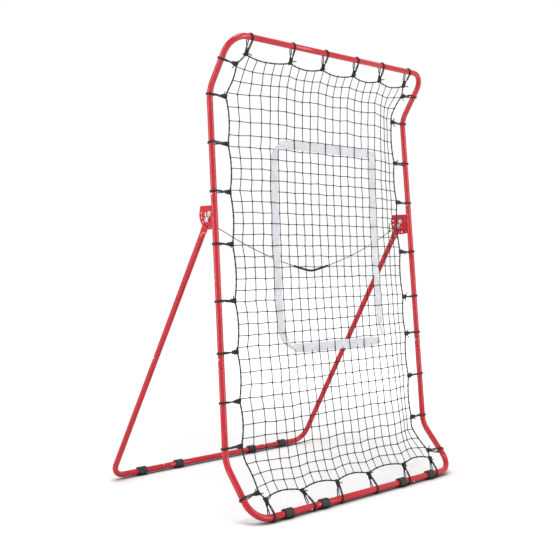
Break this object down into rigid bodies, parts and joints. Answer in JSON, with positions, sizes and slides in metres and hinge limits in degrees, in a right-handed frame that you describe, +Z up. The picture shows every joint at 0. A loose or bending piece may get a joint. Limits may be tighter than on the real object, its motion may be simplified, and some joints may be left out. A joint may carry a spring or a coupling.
{
  "type": "pitch back rebounder",
  "caption": "Folding ball rebounder: a tall kinked steel tube frame with a laced net and a strike-zone strap, propped by a U-shaped rear leg on slotted, pin-locked brackets.",
  "frame": {"origin": "on the floor, midway across and midway between the front bar and the rear bar", "axes": "+X to the right seen from the front, +Y to the rear, +Z up"},
  "size_m": [1.2312, 0.9751, 1.8411],
  "materials": {
    "red_paint": "glossy red powder coat on steel",
    "zinc_plate": "bright zinc-plated steel",
    "spring_steel": "drawn spring wire",
    "black_rubber": "matte moulded rubber",
    "net_cord": "knotted dark cord, black shock cord at the edge",
    "white_webbing": "woven white webbing",
    "braided_cord": "braided olive-grey cord",
    "black_foam": "matte foam sleeve"
  },
  "bodies": {
    "frame": {"top_bar": "red_paint", "bottom_bar": "red_paint", "left_upright": "red_paint", "right_upright": "red_paint", "top_left_bend": "red_paint", "top_right_bend": "red_paint", "bottom_left_bend": "red_paint", "bottom_right_bend": "red_paint", "left_hinge_bracket": "red_paint", "right_hinge_bracket": "red_paint", "left_pivot_bolt": "zinc_plate", "right_pivot_bolt": "zinc_plate", "left_pivot_nut": "zinc_plate", "right_pivot_nut": "zinc_plate", "front_left_inner_foot": "black_rubber", "front_left_outer_foot": "black_rubber", "front_right_inner_foot": "black_rubber", "front_right_outer_foot": "black_rubber", "net_upright_cords": "net_cord", "net_cross_cords": "net_cord", "strike_zone_strap": "white_webbing"},
    "legs": {"rear_bar": "red_paint", "left_leg_tube": "red_paint", "right_leg_tube": "red_paint", "leg_left_bend": "red_paint", "leg_right_bend": "red_paint", "left_lock_barrel": "red_paint", "right_lock_barrel": "red_paint", "left_guide_bolt": "zinc_plate", "right_guide_bolt": "zinc_plate", "left_guide_nut": "zinc_plate", "right_guide_nut": "zinc_plate", "left_lock_spring": "spring_steel", "right_lock_spring": "spring_steel", "rear_left_inner_foot": "black_rubber", "rear_left_outer_foot": "black_rubber", "rear_right_inner_foot": "black_rubber", "rear_right_outer_foot": "black_rubber"},
    "left_lock_pin_body": {"left_lock_pin": "zinc_plate", "left_pull_ring": "zinc_plate"},
    "right_lock_pin_body": {"right_lock_pin": "zinc_plate", "right_pull_ring": "zinc_plate"},
    "hanging_pull_cord": {"pull_cord": "braided_cord", "pull_cord_grip": "black_foam"},
    "top_bar_left_button_body": {"top_bar_left_button": "zinc_plate"},
    "upper_left_button_body": {"upper_left_button": "zinc_plate"},
    "lower_left_button_body": {"lower_left_button": "zinc_plate"},
    "bottom_bar_left_button_body": {"bottom_bar_left_button": "zinc_plate"},
    "leg_left_button_body": {"leg_left_button": "zinc_plate"},
    "rear_bar_left_button_body": {"rear_bar_left_button": "zinc_plate"},
    "top_bar_right_button_body": {"top_bar_right_button": "zinc_plate"},
    "upper_right_button_body": {"upper_right_button": "zinc_plate"},
    "lower_right_button_body": {"lower_right_button": "zinc_plate"},
    "bottom_bar_right_button_body": {"bottom_bar_right_button": "zinc_plate"},
    "leg_right_button_body": {"leg_right_button": "zinc_plate"},
    "rear_bar_right_button_body": {"rear_bar_right_button": "zinc_plate"}
  },
  "joints": [
    {"name": "leg_tilt", "type": "hinge", "parent": "frame", "child": "legs", "pos_m": [0, -0.20147, 1.1355], "axis": [1, 0, 0], "range_deg": [-35, 65.1]},
    {"name": "left_pin_slide", "type": "slide", "parent": "legs", "child": "left_lock_pin_body", "axis": [-1, 0, 0], "range_m": [0, 0.0049], "stiffness_N_per_m": 600, "springref_m": 0.0065},
    {"name": "right_pin_slide", "type": "slide", "parent": "legs", "child": "right_lock_pin_body", "axis": [1, 0, 0], "range_m": [0, 0.0049], "stiffness_N_per_m": 600, "springref_m": 0.0065},
    {"name": "cord_hang", "type": "hinge", "parent": "legs", "child": "hanging_pull_cord", "pos_m": [0, -0.17573, 1.09264], "axis": [1, 0, 0], "range_deg": [-65.1, 35]},
    {"name": "top_bar_left_button_press", "type": "slide", "parent": "frame", "child": "top_bar_left_button_body", "axis": [0, 0.548, -0.8365], "range_m": [0, 0.0045], "stiffness_N_per_m": 900, "springref_m": -0.001},
    {"name": "upper_left_button_press", "type": "slide", "parent": "frame", "child": "upper_left_button_body", "axis": [1, 0, 0], "range_m": [0, 0.0045], "stiffness_N_per_m": 900, "springref_m": -0.001},
    {"name": "lower_left_button_press", "type": "slide", "parent": "frame", "child": "lower_left_button_body", "axis": [1, 0, 0], "range_m": [0, 0.0045], "stiffness_N_per_m": 900, "springref_m": -0.001},
    {"name": "bottom_bar_left_button_press", "type": "slide", "parent": "frame", "child": "bottom_bar_left_button_body", "axis": [0, 0.6609, 0.7505], "range_m": [0, 0.0045], "stiffness_N_per_m": 900, "springref_m": -0.001},
    {"name": "leg_left_button_press", "type": "slide", "parent": "legs", "child": "leg_left_button_body", "axis": [1, 0, 0], "range_m": [0, 0.0045], "stiffness_N_per_m": 900, "springref_m": -0.001},
    {"name": "rear_bar_left_button_press", "type": "slide", "parent": "legs", "child": "rear_bar_left_button_body", "axis": [0, 0.5148, -0.8573], "range_m": [0, 0.0045], "stiffness_N_per_m": 900, "springref_m": -0.001},
    {"name": "top_bar_right_button_press", "type": "slide", "parent": "frame", "child": "top_bar_right_button_body", "axis": [0, 0.548, -0.8365], "range_m": [0, 0.0045], "stiffness_N_per_m": 900, "springref_m": -0.001},
    {"name": "upper_right_button_press", "type": "slide", "parent": "frame", "child": "upper_right_button_body", "axis": [-1, 0, 0], "range_m": [0, 0.0045], "stiffness_N_per_m": 900, "springref_m": -0.001},
    {"name": "lower_right_button_press", "type": "slide", "parent": "frame", "child": "lower_right_button_body", "axis": [-1, 0, 0], "range_m": [0, 0.0045], "stiffness_N_per_m": 900, "springref_m": -0.001},
    {"name": "bottom_bar_right_button_press", "type": "slide", "parent": "frame", "child": "bottom_bar_right_button_body", "axis": [0, 0.6609, 0.7505], "range_m": [0, 0.0045], "stiffness_N_per_m": 900, "springref_m": -0.001},
    {"name": "leg_right_button_press", "type": "slide", "parent": "legs", "child": "leg_right_button_body", "axis": [-1, 0, 0], "range_m": [0, 0.0045], "stiffness_N_per_m": 900, "springref_m": -0.001},
    {"name": "rear_bar_right_button_press", "type": "slide", "parent": "legs", "child": "rear_bar_right_button_body", "axis": [0, 0.5148, -0.8573], "range_m": [0, 0.0045], "stiffness_N_per_m": 900, "springref_m": -0.001}
  ],
  "couplings": [
    {"joint": "right_pin_slide", "follows": "left_pin_slide", "ratio": 1},
    {"joint": "cord_hang", "follows": "leg_tilt", "ratio": -1}
  ]
}
